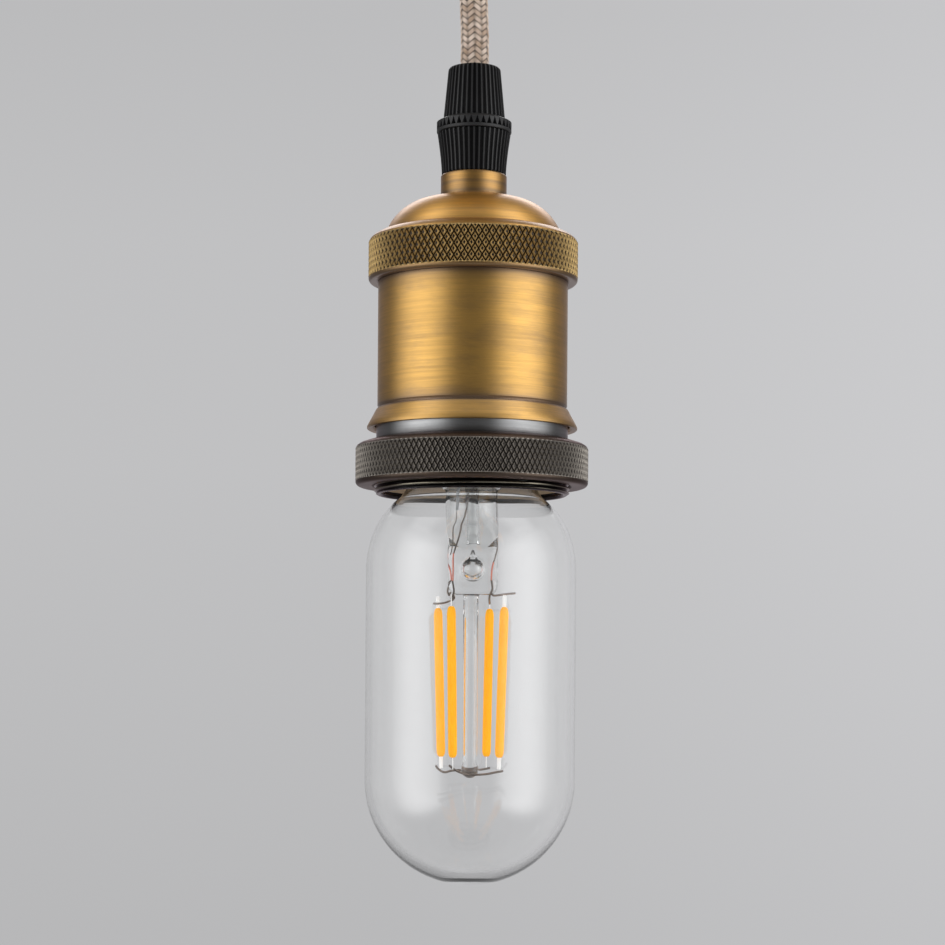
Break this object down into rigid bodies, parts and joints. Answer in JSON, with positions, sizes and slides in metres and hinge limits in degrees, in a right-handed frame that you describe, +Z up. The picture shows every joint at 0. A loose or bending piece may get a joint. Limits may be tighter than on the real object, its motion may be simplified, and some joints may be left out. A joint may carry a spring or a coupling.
{
  "type": "pendant lamp with tubular led filament bulb",
  "caption": "Pendant lamp: ceiling fitting, braided cord, ribbed cord grip, brass lampholder with a knurled collar and shade ring, and a clear tubular LED filament bulb.",
  "frame": {"origin": "on the ceiling, at the middle of the bracket's two screw holes and on the lamp's axis", "axes": "+Z up the lamp's axis towards the ceiling, +X along the bracket through its two holes"},
  "size_m": [0.09, 0.09, 0.2828],
  "materials": {
    "galvanised_steel": "zinc plated",
    "antique_brass": "brushed antique brass with darkened edges",
    "plain_brass": "plain brass",
    "black_plastic": "matte, ribbed",
    "white_plastic": "satin",
    "zinc_screws": "zinc plated",
    "braid": "braided, beige with brown threads",
    "brown_insulation": "satin",
    "blue_insulation": "satin",
    "green_insulation": "satin, green and yellow",
    "ceramic": "white, matt",
    "dark_sleeve": "dark grey, satin",
    "dark_bronze": "dark bronze, knurled",
    "tinned_contact": "tinned",
    "black_glass": "gloss",
    "nickel": "nickel plated",
    "cement": "rough",
    "clear_glass": "clear",
    "stem_glass": "clear",
    "support_wire": "bare wire",
    "phosphor": "yellow silicone over the chips",
    "circuit_board": "green",
    "driver_parts": "black"
  },
  "bodies": {
    "ceiling_fitting": {"ceiling_bracket": "galvanised_steel", "canopy": "antique_brass", "ceiling_nipple": "plain_brass", "ceiling_lock_nuts": "plain_brass", "ceiling_grip_cup": "black_plastic", "ceiling_grip_nut": "black_plastic", "terminal_block": "white_plastic", "terminal_block_screws": "plain_brass", "block_fixing_screw": "zinc_screws", "ceiling_cord_end": "braid", "ceiling_live_wire": "brown_insulation", "ceiling_neutral_wire": "blue_insulation", "ceiling_earth_wire": "green_insulation"},
    "pendant": {"cord": "braid", "lamp_cord_end": "braid", "grip_cup": "black_plastic", "nipple": "plain_brass", "lock_nuts": "plain_brass", "cap": "antique_brass", "yoke": "galvanised_steel", "yoke_screws": "zinc_screws", "earth_screw": "zinc_screws", "ceramic_core": "ceramic", "socket_shell": "plain_brass", "centre_contact": "plain_brass", "contact_screw": "zinc_screws", "terminals": "plain_brass", "terminal_screws": "zinc_screws", "live_wire": "brown_insulation", "neutral_wire": "blue_insulation", "earth_wire": "green_insulation"},
    "grip_nut": {"grip_nut": "black_plastic"},
    "sleeve": {"shade_sleeve": "dark_sleeve"},
    "shell": {"shell": "antique_brass"},
    "shade_ring": {"shade_ring": "dark_bronze"},
    "bulb_foot": {"base_contact": "tinned_contact", "base_insulator": "black_glass"},
    "bulb": {"base_shell": "nickel", "base_cement": "cement", "glass_envelope": "clear_glass", "stem": "stem_glass", "glass_rod": "stem_glass", "lead_wires": "support_wire", "filament_1": "phosphor", "filament_2": "phosphor", "filament_3": "phosphor", "filament_4": "phosphor", "filament_tabs": "support_wire", "lower_support_wires": "support_wire", "driver_board": "circuit_board", "driver_parts": "driver_parts"}
  },
  "joints": [
    {"name": "pendant_swing", "type": "hinge", "parent": "ceiling_fitting", "child": "pendant", "pos_m": [0, 0, -0.048], "axis": [0, 1, 0], "range_deg": [-25, 25], "deforming": ["cord"]},
    {"name": "grip_nut_travel", "type": "slide", "parent": "pendant", "child": "grip_nut", "axis": [0, 0, 1], "range_m": [0, 0.006]},
    {"name": "shell_travel", "type": "slide", "parent": "pendant", "child": "sleeve", "axis": [0, 0, -1], "range_m": [0, 0.00375]},
    {"name": "shell_turn", "type": "hinge", "parent": "sleeve", "child": "shell", "pos_m": [0, 0, -0.17], "axis": [0, 0, -1], "range_deg": [0, 900]},
    {"name": "shade_ring_travel", "type": "slide", "parent": "sleeve", "child": "shade_ring", "axis": [0, 0, 1], "range_m": [-0.005, 0.002]},
    {"name": "bulb_travel", "type": "slide", "parent": "pendant", "child": "bulb_foot", "axis": [0, 0, -1], "range_m": [0, 0.0254]},
    {"name": "bulb_turn", "type": "hinge", "parent": "bulb_foot", "child": "bulb", "pos_m": [0, 0, -0.22], "axis": [0, 0, -1], "range_deg": [0, 2520]}
  ],
  "couplings": [
    {"joint": "shell_turn", "follows": "shell_travel", "rad_per_m": 4188.8},
    {"joint": "bulb_turn", "follows": "bulb_travel", "rad_per_m": 1731.6}
  ]
}
